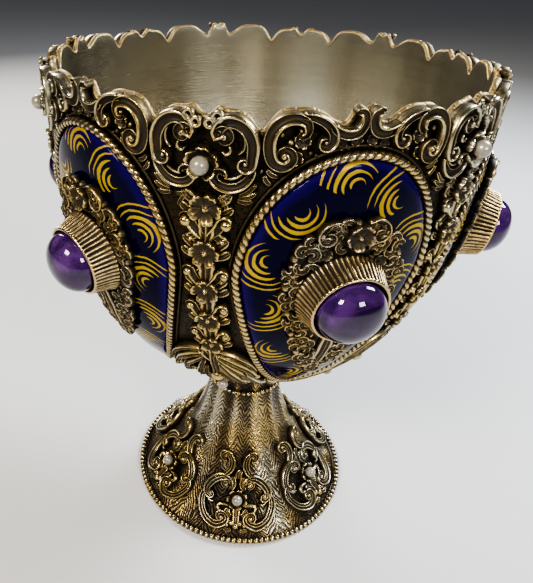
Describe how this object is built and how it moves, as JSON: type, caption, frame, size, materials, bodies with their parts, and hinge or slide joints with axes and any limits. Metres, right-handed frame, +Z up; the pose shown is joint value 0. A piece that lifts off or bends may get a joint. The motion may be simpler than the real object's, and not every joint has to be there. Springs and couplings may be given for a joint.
{
  "type": "chalice",
  "caption": "Footed gilt chalice with a scrolled crest, blue enamel medallions, violet cabochons, pearls and a trumpet foot.",
  "frame": {"origin": "middle of the ring that the foot stands on, at the table's level", "axes": "+Z up the chalice's axis; -Y through the middle of one enamel medallion"},
  "size_m": [0.1112, 0.1246, 0.1388],
  "materials": {
    "gilt_silver": "gilt silver with dark patina in the recesses, satin inside the cup",
    "pale_gilt": "bright worn gilding on ropes, collars and beads",
    "blue_enamel": "glossy deep blue enamel with painted gold arcs",
    "amethyst": "polished violet cabochon",
    "pearl": "soft pearl lustre"
  },
  "bodies": {
    "root": {"cup": "gilt_silver", "foot": "gilt_silver", "filigree_mount_1": "gilt_silver", "filigree_mount_2": "gilt_silver", "filigree_mount_3": "gilt_silver", "filigree_mount_4": "gilt_silver", "filigree_mount_5": "gilt_silver", "filigree_mount_6": "gilt_silver", "garland_casting_1": "gilt_silver", "garland_casting_2": "gilt_silver", "garland_casting_3": "gilt_silver", "garland_casting_4": "gilt_silver", "garland_casting_5": "gilt_silver", "garland_casting_6": "gilt_silver", "foot_casting_1": "gilt_silver", "foot_casting_2": "gilt_silver", "foot_casting_3": "gilt_silver", "foot_casting_4": "gilt_silver", "foot_casting_5": "gilt_silver", "foot_casting_6": "gilt_silver", "foot_beaded_edge": "pale_gilt", "rope_frame_1": "pale_gilt", "rope_frame_2": "pale_gilt", "rope_frame_3": "pale_gilt", "rope_frame_4": "pale_gilt", "rope_frame_5": "pale_gilt", "rope_frame_6": "pale_gilt", "stone_collar_1": "pale_gilt", "stone_collar_2": "pale_gilt", "stone_collar_3": "pale_gilt", "stone_collar_4": "pale_gilt", "stone_collar_5": "pale_gilt", "stone_collar_6": "pale_gilt", "enamel_plaque_1": "blue_enamel", "enamel_plaque_2": "blue_enamel", "enamel_plaque_3": "blue_enamel", "enamel_plaque_4": "blue_enamel", "enamel_plaque_5": "blue_enamel", "enamel_plaque_6": "blue_enamel", "amethyst_1": "amethyst", "amethyst_2": "amethyst", "amethyst_3": "amethyst", "amethyst_4": "amethyst", "amethyst_5": "amethyst", "amethyst_6": "amethyst", "rim_pearl_1": "pearl", "rim_pearl_2": "pearl", "rim_pearl_3": "pearl", "rim_pearl_4": "pearl", "rim_pearl_5": "pearl", "rim_pearl_6": "pearl", "foot_pearl_1": "pearl", "foot_pearl_2": "pearl", "foot_pearl_3": "pearl", "foot_pearl_4": "pearl", "foot_pearl_5": "pearl", "foot_pearl_6": "pearl"}
  },
  "joints": []
}
